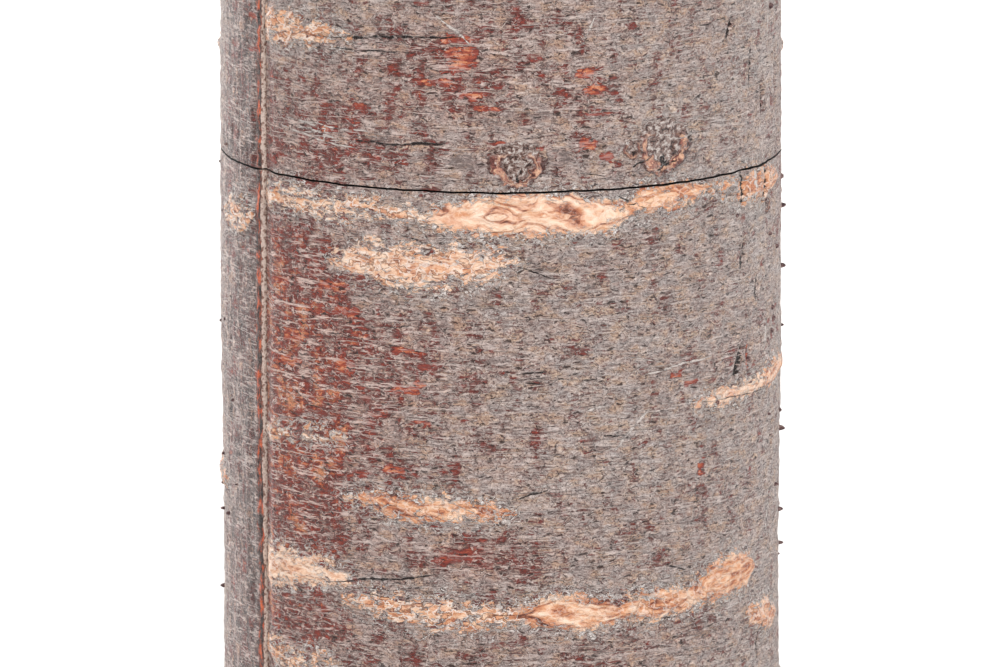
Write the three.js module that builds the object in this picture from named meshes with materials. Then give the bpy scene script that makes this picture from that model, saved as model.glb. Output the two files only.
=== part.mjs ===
// A lidded wooden canister clad in cherry bark, so that it looks like a short log.
//
// Two end-grain discs close two thin wooden tubes, one for the body and one for the lid. A liner tube is
// glued inside the body and stands up into the lid, which slides down over it. One sheet of cherry bark is
// wrapped round the body and one round the lid. Both sheets meet their own other edge in one straight
// upright seam, because the cylinder is wrapped first and parted into lid and body afterwards.
//
// Millimetres, +Z up. The origin is the middle of the underside. The front faces -Y.

import * as THREE from "three";

// Driving dimensions.
const OUTER_RADIUS = 40; // over the bark
const HEIGHT = 124; // from the surface it stands on to the top of the lid
const LID_HEIGHT = 36; // from the parting line to the top
const BARK_THICKNESS = 1.2;
const DISC_THICKNESS = 8; // the end-grain slices
const TUBE_WALL = 3;
const LINER_WALL = 2;
const LINER_ABOVE_BODY = 20; // how far the liner stands up into the lid
const GLUE_GAP = 0.3; // between glued pieces, and at the parting line between the wooden rims
const BARK_PARTING_GAP = 0.4; // the fine open line between the two bark sheets
const BARK_SETBACK = 0.4; // the bark stops this far short of the end faces
const DISC_CHAMFER = 0.8;
const SEAM_WIDTH = 0.6; // the open seam between the two edges of a bark sheet
const SEAM_ANGLE = THREE.MathUtils.degToRad(-58); // from the front, positive towards +X

// Places worked out from them.
const BARK_INNER_RADIUS = OUTER_RADIUS - BARK_THICKNESS;
const WOOD_RADIUS = BARK_INNER_RADIUS - GLUE_GAP;
const TUBE_INNER_RADIUS = WOOD_RADIUS - TUBE_WALL;
const LINER_RADIUS = TUBE_INNER_RADIUS - GLUE_GAP;
const PARTING_HEIGHT = HEIGHT - LID_HEIGHT;

// How finely round shapes are divided.
const TURNED_SIDES = 128;
const BARK_ARC_STEPS = 112;

const cherryEndGrain = new THREE.MeshStandardMaterial({ color: 0xc99a6b, roughness: 0.72, metalness: 0 });
const cherryVeneer = new THREE.MeshStandardMaterial({ color: 0xd9b48a, roughness: 0.65, metalness: 0 });
const cherryBark = new THREE.MeshStandardMaterial({ color: 0xa98f88, roughness: 0.85, metalness: 0 });

const canister = new THREE.Group();

// Adds one named piece to the canister and returns it.
function addPiece(name, geometry, material) {
  const piece = new THREE.Mesh(geometry, material);
  piece.name = name;
  canister.add(piece);
  return piece;
}

// A turned shape: the profile's points are [radius, height], and the lathe's own Y axis is stood up along +Z.
function turned(name, profile, material) {
  const points = profile.map(([radius, height]) => new THREE.Vector2(radius, height));
  const piece = addPiece(name, new THREE.LatheGeometry(points, TURNED_SIDES), material);
  piece.rotation.x = Math.PI / 2;
  return piece;
}

// A slice of a cherry stem with both edges eased, from height bottom upwards.
function endGrainDisc(name, bottom) {
  const top = bottom + DISC_THICKNESS;
  const easedRadius = WOOD_RADIUS - DISC_CHAMFER;
  const profile = [
    [0, bottom],
    [easedRadius, bottom],
    [WOOD_RADIUS, bottom + DISC_CHAMFER],
    [WOOD_RADIUS, top - DISC_CHAMFER],
    [easedRadius, top],
    [0, top],
  ];
  return turned(name, profile, cherryEndGrain);
}

// A plain tube between two heights.
function woodTube(name, outerRadius, wall, bottom, top) {
  const innerRadius = outerRadius - wall;
  const profile = [
    [innerRadius, bottom],
    [outerRadius, bottom],
    [outerRadius, top],
    [innerRadius, top],
    [innerRadius, bottom],
  ];
  return turned(name, profile, cherryVeneer);
}

// A bark sheet bent round the wood, open along the upright seam.
function barkSheet(name, bottom, top) {
  const halfSeam = SEAM_WIDTH / 2 / OUTER_RADIUS;
  const seamHeading = SEAM_ANGLE - Math.PI / 2; // the same direction, measured from +X
  const start = seamHeading + halfSeam;
  const end = seamHeading + 2 * Math.PI - halfSeam;
  const outline = new THREE.Shape();
  outline.absarc(0, 0, OUTER_RADIUS, start, end, false);
  outline.absarc(0, 0, BARK_INNER_RADIUS, end, start, true);
  outline.closePath();
  const geometry = new THREE.ExtrudeGeometry(outline, {
    depth: top - bottom,
    curveSegments: BARK_ARC_STEPS,
    bevelEnabled: false,
  });
  const piece = addPiece(name, geometry, cherryBark);
  piece.position.z = bottom;
  return piece;
}

// Body, from the bottom up.
endGrainDisc("bottom_disc", 0);
woodTube("body_tube", WOOD_RADIUS, TUBE_WALL, DISC_THICKNESS + GLUE_GAP, PARTING_HEIGHT - GLUE_GAP / 2);
woodTube("liner_tube", LINER_RADIUS, LINER_WALL, DISC_THICKNESS + GLUE_GAP, PARTING_HEIGHT + LINER_ABOVE_BODY);
barkSheet("body_bark", BARK_SETBACK, PARTING_HEIGHT - BARK_PARTING_GAP / 2);

// Lid, set down on the body.
endGrainDisc("top_disc", HEIGHT - DISC_THICKNESS);
woodTube("lid_tube", WOOD_RADIUS, TUBE_WALL, PARTING_HEIGHT + GLUE_GAP / 2, HEIGHT - DISC_THICKNESS - GLUE_GAP);
barkSheet("lid_bark", PARTING_HEIGHT + BARK_PARTING_GAP / 2, HEIGHT - BARK_SETBACK);

export default canister;
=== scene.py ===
# A lidded wooden canister clad in cherry bark, so that it looks like a short log, on a pale studio floor.
#
# The bark of the body and of the lid are each laid out flat, as parts of one sheet. Corky lenticels, bud
# scars, cracks and flat red plates are worked into them, and they are wrapped round from one upright seam,
# so that the marks run on across the parting line. End-grain slices close both ends. Places on the sheet are
# given as a turn in degrees from the front (positive to the right) and a height in millimetres.

import math

import bmesh
import bpy
import numpy as np
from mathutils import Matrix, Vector


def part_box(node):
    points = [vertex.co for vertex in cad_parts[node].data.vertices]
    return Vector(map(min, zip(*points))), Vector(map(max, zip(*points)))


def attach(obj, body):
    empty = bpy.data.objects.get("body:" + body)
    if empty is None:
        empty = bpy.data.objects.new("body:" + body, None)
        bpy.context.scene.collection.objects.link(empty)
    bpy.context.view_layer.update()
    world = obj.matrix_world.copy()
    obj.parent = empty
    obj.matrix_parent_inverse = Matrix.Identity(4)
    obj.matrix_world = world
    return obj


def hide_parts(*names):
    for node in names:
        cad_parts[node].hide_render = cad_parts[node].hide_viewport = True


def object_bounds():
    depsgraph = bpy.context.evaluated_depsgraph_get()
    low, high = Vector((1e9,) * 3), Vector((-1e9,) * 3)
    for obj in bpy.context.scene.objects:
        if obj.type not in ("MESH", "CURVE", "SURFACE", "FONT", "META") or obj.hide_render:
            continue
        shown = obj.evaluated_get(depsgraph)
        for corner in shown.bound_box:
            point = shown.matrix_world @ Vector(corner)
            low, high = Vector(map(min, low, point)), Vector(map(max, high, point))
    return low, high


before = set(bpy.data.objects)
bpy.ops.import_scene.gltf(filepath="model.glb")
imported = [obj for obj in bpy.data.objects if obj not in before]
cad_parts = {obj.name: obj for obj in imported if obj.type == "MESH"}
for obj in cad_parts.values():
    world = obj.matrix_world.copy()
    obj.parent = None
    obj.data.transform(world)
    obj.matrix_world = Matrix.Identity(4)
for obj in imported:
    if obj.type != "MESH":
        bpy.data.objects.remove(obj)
CAD_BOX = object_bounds()

# Sizes in millimetres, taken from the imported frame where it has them.
MM = 0.001
OUTER_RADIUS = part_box("body_bark")[1].x / MM
WOOD_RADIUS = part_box("top_disc")[1].x / MM
GLUE_LINE = 0.3
BARK_BACK = WOOD_RADIUS + GLUE_LINE
BARK_THICKNESS = OUTER_RADIUS - BARK_BACK
GIRTH = 2 * math.pi * OUTER_RADIUS
TOTAL_HEIGHT = CAD_BOX[1][2] / MM
SEAM_TURN = -58.0
SEAM_GAP = 0.3
PARTING_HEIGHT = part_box("body_bark")[1].z / MM
PARTING_CLOSE = 0.06  # each sheet's cut edge runs this far into the parting line

# ---------------------------------------------------------------- helpers


def clear_selection():
    """Leaves edit mode, and nothing selected."""
    if bpy.context.object and bpy.context.object.mode != "OBJECT":
        bpy.ops.object.mode_set(mode="OBJECT")
    bpy.ops.object.select_all(action="DESELECT")


def linear_colour(hex_colour):
    """An sRGB hex colour as linear RGBA."""
    parts = [int(hex_colour[i : i + 2], 16) / 255 for i in (1, 3, 5)]
    linear = [p / 12.92 if p <= 0.04045 else ((p + 0.055) / 1.055) ** 2.4 for p in parts]
    return (*linear, 1.0)


def add_node(tree, kind, inputs=None, ramp=None, output=0, **settings):
    """Adds a node, sets its settings, and links or sets its inputs. Gives one of its outputs, or "all".

    Colours are sRGB hex, and a ramp is a list of (place, colour)."""
    made = tree.nodes.new("ShaderNode" + kind)
    for name, value in settings.items():
        setattr(made, name, value)
    for name, value in (inputs or {}).items():
        if isinstance(value, bpy.types.NodeSocket):
            tree.links.new(value, made.inputs[name])
        else:
            made.inputs[name].default_value = linear_colour(value) if isinstance(value, str) else value
    if ramp:
        stops = made.color_ramp.elements
        while len(stops) < len(ramp):
            stops.new(0.5)
        for stop, (place, colour) in zip(stops, ramp):
            stop.position = place
            stop.color = linear_colour(colour)
    return made.outputs[:] if output == "all" else made.outputs[output]


def new_material(name):
    """A node material holding only its shader. Returns the material, its tree and the shader node."""
    material = bpy.data.materials.new(name)
    material.use_nodes = True
    return material, material.node_tree, material.node_tree.nodes["Principled BSDF"]


def smooth_step(low, high, value):
    """0 under low, 1 over high, and a smooth rise between."""
    t = np.clip((value - low) / (high - low), 0, 1)
    return t * t * (3 - 2 * t)


LATTICE_MARGIN = 2  # cells before the sheet's start and below its foot
LATTICE_SPARE = 8
LAST_CELL = 1.001  # keeps a point off the lattice's last line


def smooth_noise(along, up, wide, high, seed):
    """A smooth random field from -1 to 1, with features about wide by high millimetres."""
    columns = int(GIRTH / wide) + LATTICE_SPARE
    rows = int(TOTAL_HEIGHT / high) + LATTICE_SPARE
    lattice = np.random.default_rng(seed).uniform(-1, 1, (rows, columns))
    a = np.clip(along / wide + LATTICE_MARGIN, 0, columns - LAST_CELL)
    b = np.clip(up / high + LATTICE_MARGIN, 0, rows - LAST_CELL)
    column = a.astype(int)
    row = b.astype(int)
    fa = smooth_step(0, 1, a - column)
    fb = smooth_step(0, 1, b - row)
    lower = lattice[row, column] * (1 - fa) + lattice[row, column + 1] * fa
    upper = lattice[row + 1, column] * (1 - fa) + lattice[row + 1, column + 1] * fa
    return lower * (1 - fb) + upper * fb


def rough_noise(along, up, wide, high, seed, octaves=3):
    """Smooth noise with finer and finer noise laid over it."""
    total = 0
    for octave in range(octaves):
        finer = 2**octave
        total = total + smooth_noise(along, up, wide / finer, high / finer, seed + octave) / finer
    return total / (2 - 2 / 2**octaves)


def girth_place(turn):
    """Millimetres along the sheet, from the seam, of a turn in degrees from the front."""
    return math.radians((turn - SEAM_TURN) % 360) * OUTER_RADIUS


# ---------------------------------------------------------------- what grew on the bark

# Corky lenticels: (turn at one end, turn at the other, height there, height here, breadth, how broken up
# from 0 to 1, cream 0 to orange 1). Those past the seam on the left are cut off by it, as the sheet was.
LENTICELS = [
    (-84, -6, 84.9, 84.6, 5.0, 0.75, 0.35),
    (-16, 27, 84.3, 84.6, 6.4, 0.0, 0.25),
    (22, 47, 85.9, 86.6, 4.6, 0.2, 0.85),
    (44, 56, 86.6, 86.9, 3.0, 0.7, 1.0),
    (53, 76, 85.0, 85.6, 6.4, 0.5, 1.0),
    (-38, 4, 77.2, 77.8, 7.2, 0.6, 0.3),
    (-86, -31, 110.4, 108.6, 6.4, 0.7, 0.6),
    (-78, -33, 50.8, 51.8, 3.4, 1.0, 0.5),
    (-34, 3, 43.6, 42.4, 4.2, 0.25, 1.0),
    (-88, -31, 32.6, 31.8, 7.0, 0.4, 0.1),
    (-36, 8, 28.8, 27.6, 5.6, 0.75, 0.6),
    (2, 27, 27.9, 27.9, 5.8, 0.1, 0.55),
    (20, 50, 27.8, 28.6, 5.6, 0.35, 0.6),
    (42, 64, 29.4, 30.4, 6.8, 0.2, 0.9),
    (-84, -33, 20.6, 18.6, 5.0, 0.7, 0.5),
    (42, 74, 56.0, 56.4, 3.0, 0.2, 0.1),
    (62, 86, 56.8, 58.2, 4.4, 0.35, 0.85),
    (60, 78, 22.6, 21.6, 5.6, 0.4, 0.9),
    (-78, -60, 80.6, 81.4, 6.0, 0.9, 0.6),
]
# More of them, round the back and on the far side.
FAR_LENTICELS = [
    (88, 152, 102.4, 104.0, 4.6, 0.4, 0.6),
    (96, 176, 74.6, 76.8, 5.8, 0.6, 0.3),
    (104, 134, 64.0, 64.6, 3.4, 0.7, 0.8),
    (118, 196, 44.2, 42.4, 6.2, 0.4, 0.4),
    (92, 122, 35.0, 34.2, 3.6, 0.8, 0.7),
    (150, 226, 15.4, 14.6, 5.8, 0.5, 0.2),
    (172, 248, 61.6, 63.8, 5.6, 0.3, 0.5),
    (186, 236, 96.0, 97.4, 6.0, 0.6, 0.3),
    (212, 262, 116.2, 115.4, 4.0, 0.6, 0.7),
    (232, 284, 41.6, 40.8, 4.8, 0.6, 0.5),
    (246, 276, 103.0, 102.2, 3.8, 0.8, 0.8),
    (120, 170, 117.4, 118.0, 4.2, 0.7, 0.5),
    (84, 118, 9.4, 10.2, 4.4, 0.6, 0.6),
    (-44, 6, 8.0, 7.0, 4.6, 0.5, 0.4),
]
FAR_OUTSIDE = -3.0  # how deep inside a lenticel a point is that is nowhere near one


def lenticel_fields(along, up):
    """Millimetres inside the nearest lenticel's edge (negative outside), and how orange and broken it is."""
    deepest = np.full_like(along, FAR_OUTSIDE)
    orange_here = np.full_like(along, 0.5)
    broken_here = np.full_like(along, 0.5)
    for number, lenticel in enumerate(LENTICELS + FAR_LENTICELS):
        first, last, low, high, breadth, broken, orange = lenticel
        start = math.radians(first - SEAM_TURN) * OUTER_RADIUS
        length = math.radians(last - first) * OUTER_RADIUS
        past_seam = first < SEAM_TURN and last <= SEAM_TURN
        place = (along - start - (GIRTH if past_seam else 0)) / length
        inside = np.clip(place, 0, 1)
        middle = low + (high - low) * inside + 0.6 * smooth_noise(along, up, 7, 90, 40 + number)
        lens = (4 * inside * (1 - inside)) ** 0.5
        depth = breadth / 2 * lens - np.abs(up - middle)
        depth -= np.abs(place - inside) * length
        depth += (0.3 + 0.8 * broken) * rough_noise(along, up, 3.6, 1.5, 200 + 9 * number)
        depth -= 0.3 * broken
        nearer = depth > deepest
        deepest[nearer] = depth[nearer]
        orange_here[nearer] = orange
        broken_here[nearer] = broken
    return deepest, orange_here, broken_here


# Where the outer skin has gone maroon and rust red: (turn, height, spread along, spread up, strength).
RED_PLACES = [
    (-51, 62, 9, 15, 1.1),
    (-34, 66, 8, 12, 0.36),
    (-18, 63, 7, 5, 0.25),
    (-46, 41, 8, 7, 0.7),
    (-30, 51, 12, 5, 0.25),
    (-40, 93, 8, 5, 0.45),
    (-30, 103, 13, 8, 0.26),
    (-6, 106, 6, 6, 0.5),
    (-50, 25, 8, 7, 0.6),
    (-28, 24, 12, 4, 0.3),
    (-4, 36, 7, 2.2, 0.75),
    (16, 103, 5, 6, 0.4),
    (30, 22, 16, 4, 0.25),
    (110, 88, 14, 10, 0.6),
    (160, 60, 16, 8, 0.6),
    (205, 32, 18, 8, 0.7),
    (232, 82, 14, 9, 0.55),
]
RED_EVERYWHERE = 0.07
RED_MOST = 1.15


def red_share(along, up):
    """How much of the skin has turned red, from 0 to a little over 1."""
    share = np.full_like(along, RED_EVERYWHERE)
    for turn, height, wide, high, strength in RED_PLACES:
        away = ((along - girth_place(turn)) / wide) ** 2 + ((up - height) / high) ** 2
        share += strength * np.exp(-away / 2)
    share += 0.22 * rough_noise(along, up, 14, 6, 310)
    share += 0.4 * smooth_step(GIRTH - WRINKLED, GIRTH - 8, along)
    share += 0.35 * smooth_step(PARED_WIDTH * 2, PARED_WIDTH / 2, along)
    return np.clip(share, 0, RED_MOST)


# Flat satin plates: (turn, height, length, height of the plate, heat). The heat runs from 0, brown, through
# 0.4, maroon, to 1, orange, and a plate under 0 is slate.
PLATES = [
    (-8.0, 92.2, 3.6, 2.4, -0.4),
    (11.4, 92.9, 3.6, 2.6, -0.4),
    (17.5, 94.6, 3.0, 1.8, 0.97),
    (21.5, 92.6, 2.4, 1.4, 0.95),
    (-9, 109.6, 4.6, 1.5, 0.9),
    (-8, 107.6, 5.2, 2.0, 0.9),
    (-8, 105.9, 4.8, 1.2, 0.9),
    (-13, 103.4, 4.6, 1.3, 0.9),
    (-6, 101.6, 3.4, 1.4, 0.9),
    (-3, 99.9, 4.0, 1.0, 0.9),
    (17, 104.6, 3.0, 1.6, 0.97),
    (19, 102.2, 3.4, 1.8, 0.97),
    (-36, 73.4, 5.6, 1.4, 0.9),
    (-33, 70.0, 4.8, 1.6, 0.9),
    (-19, 65.0, 5.2, 1.0, 0.9),
    (-33, 62.2, 3.6, 1.8, 0.9),
    (-20, 59.6, 5.0, 1.2, 0.9),
    (-47, 65.4, 4.4, 1.8, 0.9),
    (-48, 61.6, 5.0, 1.6, 0.9),
    (-9, 36.2, 6.6, 1.4, 0.55),
    (-4, 34.8, 4.4, 1.0, 0.5),
    (-16, 55.0, 3.4, 0.9, 0.9),
    (-22, 48.0, 4.2, 1.3, 0.9),
    (38, 60.6, 2.6, 1.1, 0.9),
    (42, 59.0, 3.0, 1.3, 0.9),
    (45, 46.6, 2.0, 2.4, 0.9),
    (60.6, 60.6, 1.0, 3.8, 0.95),
    (75.4, 64.2, 1.4, 1.1, 0.42),
    (73.6, 62.4, 1.3, 1.2, 0.42),
    (77.4, 66.2, 1.5, 1.0, 0.42),
    (71.2, 64.8, 1.0, 0.9, 0.42),
    (63.6, 59.6, 1.1, 1.3, 0.42),
    (58.4, 81.0, 1.6, 1.6, 0.36),
    (73.0, 82.6, 1.3, 1.4, 0.36),
    (75.6, 77.6, 1.3, 1.0, 0.42),
    (67.4, 73.4, 1.2, 1.0, 0.42),
    (72.6, 96.4, 1.2, 1.4, 0.42),
    (6.8, 94.2, 2.6, 0.8, 0.9),
    (-0.4, 95.2, 2.0, 0.6, 0.8),
]
SCATTERED_PLATES = 420  # places tried for a small plate, which lies there only if the skin is red enough
PLATE_SEED = 77


def plate_fields(along, up):
    """1 on a flat plate, fading to 0 at its edge, and how orange that plate is."""
    rng = np.random.default_rng(PLATE_SEED)
    plates = [(girth_place(t), h, length / 2, high / 2, heat) for t, h, length, high, heat in PLATES]
    for _ in range(SCATTERED_PLATES):
        x, y = rng.uniform(0, GIRTH), rng.uniform(2, TOTAL_HEIGHT - 2)
        half_long, half_high = rng.uniform(0.8, 2.4), rng.uniform(0.3, 0.7)
        heat = rng.uniform(0.2, 0.95)
        if rng.uniform(0, 1) < red_share(np.array([x]), np.array([y]))[0] - 0.12:
            plates.append((x, y, half_long, half_high, heat))
    cover = np.zeros_like(along)
    heats = np.full_like(along, 0.6)
    ragged = 0.35 * rough_noise(along, up, 1.6, 0.8, 330)
    for x, y, half_long, half_high, heat in plates:
        near = (np.abs(along - x) < half_long * 1.8) & (np.abs(up - y) < half_high * 2.2)
        rows = np.flatnonzero(near)
        away = np.abs((along[rows] - x) / half_long) ** 4 + np.abs((up[rows] - y) / half_high) ** 3
        own = smooth_step(1.5, 0.3, away + ragged[rows])
        stronger = own >= cover[rows]
        cover[rows[stronger]] = own[stronger]
        heats[rows[stronger]] = heat
    return cover, heats


# Open cracks, and pale healed ones: (turn, height, turn, height, width at the middle, 0 dark or 1 pale).
CRACKS = [
    (-40, 108.9, -8, 109.8, 0.36, 0),
    (-44, 107.6, -16, 107.2, 0.16, 0),
    (-31, 94.3, -20, 94.4, 0.3, 0),
    (-22, 94.2, -11, 95.0, 0.3, 0),
    (-50, 96.4, -24, 95.6, 0.22, 1),
    (-46, 95.6, -34, 94.4, 0.34, 1),
    (-54, 95.4, -28, 93.0, 0.2, 1),
    (-38, 30.9, -13, 33.2, 0.28, 0),
    (-30, 29.9, -22, 29.7, 0.24, 0),
    (-25, 27.2, -19, 26.8, 0.22, 0),
    (3, 77.4, 11, 75.6, 0.2, 0),
    (-21, 81.6, -12, 80.0, 0.16, 0),
    (55.4, 58.4, 58.6, 63.0, 1.0, 0),
    (32, 90.0, 38, 91.4, 0.26, 0),
    (52.4, 106.6, 54.4, 110.6, 0.5, 0),
    (24, 86.9, 28, 85.6, 0.24, 0),
    (25, 85.9, 30, 84.9, 0.22, 0),
    (76, 95, 77, 104, 0.5, 0),
    (80, 88.4, 79, 96, 0.4, 0),
    (78, 108, 77, 116, 0.5, 0),
    (23, 50.6, 31.5, 56.4, 0.34, 1),
    (17, 56.4, 22, 57.6, 0.3, 1),
    (30, 61.0, 48, 62.6, 0.32, 1),
    (-12, 44.6, -3, 41.8, 0.3, 1),
    (16, 108.6, 19, 112.6, 0.34, 1),
    (-14, 113.4, -6, 108.8, 0.3, 1),
    (44, 56.2, 70, 55.2, 0.3, 0),
    (35, 33.6, 41, 32.2, 0.2, 0),
    (57, 82.6, 57.4, 88.0, 1.0, 0),
    (62, 82.4, 62.4, 88.0, 1.6, 1),
    (67, 82.4, 67.6, 88.0, 1.3, 0),
    (39, 91.4, 42, 95.6, 0.22, 0),
    (27, 90.6, 32, 92.2, 0.22, 0),
    (61, 99.6, 61.8, 105.4, 0.36, 0),
    (66.5, 94.6, 67.4, 100.4, 0.4, 0),
    (70.4, 104.6, 70.8, 111.4, 0.4, 1),
    (57.6, 73.4, 58.8, 77.6, 0.44, 0),
    (64.4, 68.2, 64.8, 72.6, 0.36, 0),
    (69, 60.4, 70, 66.0, 0.4, 1),
    (74.4, 43.6, 74.8, 50.4, 0.44, 0),
    (71, 34.2, 72.2, 40.6, 0.4, 1),
    (66, 16.4, 67, 22.0, 0.4, 0),
]
SCATTERED_CRACKS = 90
CRACK_SEED = 91
CRACK_REACH = 1.6  # how far from its middle line a crack is still felt


def crack_fields(along, up):
    """For the nearest crack: millimetres across it, half its width there, and whether it is a pale one."""
    across = np.full_like(along, 2.0)
    width = np.zeros_like(along)
    pale = np.zeros_like(along)
    rng = np.random.default_rng(CRACK_SEED)
    cracks = [
        (girth_place(t0), h0, girth_place(t1), h1, wide, kind) for t0, h0, t1, h1, wide, kind in CRACKS
    ]
    for _ in range(SCATTERED_CRACKS):
        x = rng.uniform(2, GIRTH - 8)
        y = rng.uniform(1, TOTAL_HEIGHT - 1)
        run = rng.uniform(1.5, 6)
        rise = rng.normal(0, 0.12) * run
        cracks.append((x, y, x + run, y + rise, rng.uniform(0.08, 0.2), float(rng.uniform(0, 1) < 0.5)))
    bend = 0.35 * rough_noise(along, up, 4, 4, 350, 2)
    for x0, y0, x1, y1, wide, kind in cracks:
        length = math.hypot(x1 - x0, y1 - y0)
        run, rise = (x1 - x0) / length, (y1 - y0) / length
        place = ((along - x0) * run + (up - y0) * rise) / length
        off = (up - y0) * run - (along - x0) * rise + bend
        near = (place > 0) & (place < 1) & (np.abs(off) < np.minimum(CRACK_REACH, np.abs(across)))
        across[near] = off[near]
        width[near] = wide / 2 * (4 * place[near] * (1 - place[near])) ** 0.6
        pale[near] = kind
    return across, width, pale


# Eye-shaped scars of old buds: (turn, height, half width, half height).
KNOTS = [
    (3, 91.7, 4.0, 3.3),
    (34.5, 93.2, 4.8, 3.9),
    (27.4, 93.4, 1.7, 1.5),
    (71, 82.0, 1.3, 1.7),
    (142, 54, 4.0, 3.4),
    (252, 70, 3.6, 3.2),
    (196, 108, 3.8, 3.0),
]
KNOT_REACH = 2.2  # in half widths


def knot_fields(along, up):
    """Place across and up from the nearest knot's middle, in half widths, and 1 on the knot."""
    x = np.full_like(along, 3.0)
    y = np.full_like(along, 3.0)
    for turn, height, half_wide, half_high in KNOTS:
        dx = (along - girth_place(turn)) / half_wide
        dy = (up - height) / half_high
        near = np.hypot(dx, dy) < np.minimum(KNOT_REACH, np.hypot(x, y))
        x[near] = dx[near]
        y[near] = dy[near]
    x = x * (1 + 0.45 * np.clip(-y, 0, 1.2))  # narrowing to a pointed foot
    reach = np.hypot(x, y)
    on = smooth_step(1.25, 0.85, reach + 0.2 * rough_noise(along, up, 2, 1.4, 370))
    return x, y, on


PARED_WIDTH = 3.4  # the right-hand edge of the sheet is pared down over this width
PARED_DEPTH = 0.85
WRINKLED = 22.0  # the last stretch of the sheet, which wrinkled as it was bent
# How far each mark stands above the skin or lies below it, in millimetres.
SCALES = 0.16
GRIT = 0.1
SWELL = 0.35
CORK = 0.5
CORK_GROWTH = 0.4
PLATE = 0.14
KNOT = 0.25
KNOT_CURL = 0.5
CRACK = 0.5
WRINKLES = 0.16
CURLED_EDGE = 0.12
HIGHEST = 1.1
THINNEST = 0.25  # of the bark left under the deepest mark


def relief(along, up, fields):
    """Millimetres that the skin stands above or below the nominal bark surface."""
    cork = smooth_step(-0.3, 1.3, fields["cork"])
    height = SCALES * rough_noise(along, up, 5, 1.6, 400) + GRIT * rough_noise(along, up, 1.8, 0.8, 410)
    height += SWELL * rough_noise(along, up, 38, 30, 420, 2)
    height += cork * (CORK + CORK_GROWTH * rough_noise(along, up, 2.2, 1.0, 430))
    height -= PLATE * fields["plate"]
    reach = np.hypot(fields["knot_x"], fields["knot_y"])
    reach = reach + 0.2 * rough_noise(along, up, 2.6, 2.0, 440)
    foot = smooth_step(0.6, 0.0, fields["knot_y"])
    curl = foot * np.exp(-((reach - 0.8) ** 2) / 0.04)
    pitted = rough_noise(along, up, 1.2, 1.0, 450) - 1
    height += fields["knot"] * (KNOT_CURL * curl + KNOT * pitted)
    dark = fields["crack_width"] * (1 - fields["crack_pale"])
    height -= np.minimum(CRACK, 2.2 * dark) * np.exp(-((fields["crack"] / 0.45) ** 2))
    pared = smooth_step(PARED_WIDTH, 0, along)
    height = height * (1 - 0.7 * pared) - PARED_DEPTH * pared
    to_left_edge = GIRTH - along
    wrinkles = rough_noise(along, up, 1.1, 9, 460) * smooth_step(WRINKLED, WRINKLED / 2, to_left_edge)
    height += WRINKLES * wrinkles - CURLED_EDGE * smooth_step(0.9, 0, to_left_edge)
    return np.clip(height, THINNEST - BARK_THICKNESS, HIGHEST)


# ---------------------------------------------------------------- the bark sheets


EDGE_STEPS = 3  # rows of faces through the sheet's thickness


def flat_sheet(name, low, high, spacing):
    """One sheet of bark laid out flat: girth across, height up, and its thickness below."""
    clear_selection()
    length = GIRTH - SEAM_GAP
    bpy.ops.mesh.primitive_grid_add(
        x_subdivisions=round(length / spacing),
        y_subdivisions=round((high - low) / spacing),
        size=1,
        location=(GIRTH / 2, (low + high) / 2, 0),
    )
    sheet = bpy.context.object
    sheet.name = name
    sheet.scale = (length, high - low, 1)
    bpy.ops.object.transform_apply(location=True, rotation=True, scale=True)
    bpy.ops.object.mode_set(mode="EDIT")
    bpy.ops.mesh.select_mode(type="EDGE")
    bpy.ops.mesh.select_all(action="DESELECT")
    bpy.ops.mesh.select_non_manifold(extend=False)
    bpy.ops.mesh.mark_sharp()
    for _ in range(EDGE_STEPS):
        step = (0, 0, -BARK_THICKNESS / EDGE_STEPS)
        bpy.ops.mesh.extrude_edges_move(TRANSFORM_OT_translate={"value": step})
    bpy.ops.mesh.mark_sharp()
    bpy.ops.object.mode_set(mode="OBJECT")
    return sheet


SAME = 1e-3  # two places nearer than this are the same
ON_BACK = 0.99  # points and faces deeper than this share of the thickness are the back's


def close_back(sheet, low, high):
    """Closes the back of the sheet with one long face under each column of the front."""
    form = bmesh.new()
    form.from_mesh(sheet.data)
    back = [v for v in form.verts if v.co.z < -BARK_THICKNESS * ON_BACK]
    lower = sorted((v for v in back if abs(v.co.y - low) < SAME), key=lambda v: v.co.x)
    upper = sorted((v for v in back if abs(v.co.y - high) < SAME), key=lambda v: v.co.x)
    left = sorted((v for v in back if abs(v.co.x - lower[0].co.x) < SAME), key=lambda v: v.co.y)
    right = sorted((v for v in back if abs(v.co.x - lower[-1].co.x) < SAME), key=lambda v: v.co.y)
    for i in range(len(lower) - 1):
        near_side = left[1:-1] if i == 0 else []
        far_side = right[1:-1] if i == len(lower) - 2 else []
        loop = [lower[i], *near_side, upper[i], upper[i + 1], *reversed(far_side), lower[i + 1]]
        form.faces.new(loop)
    bmesh.ops.recalc_face_normals(form, faces=form.faces)
    form.to_mesh(sheet.data)
    form.free()


def mesh_points(mesh):
    """The mesh's points as an array of rows x, y, z."""
    points = np.empty(len(mesh.vertices) * 3)
    mesh.vertices.foreach_get("co", points)
    return points.reshape(-1, 3)


def store(mesh, name, *columns):
    """Keeps three numbers for each point of the mesh, under a name that its material reads."""
    attribute = mesh.attributes.new(name, "FLOAT_VECTOR", "POINT")
    attribute.data.foreach_set("vector", np.stack(columns, 1).ravel().astype(np.float32))


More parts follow.
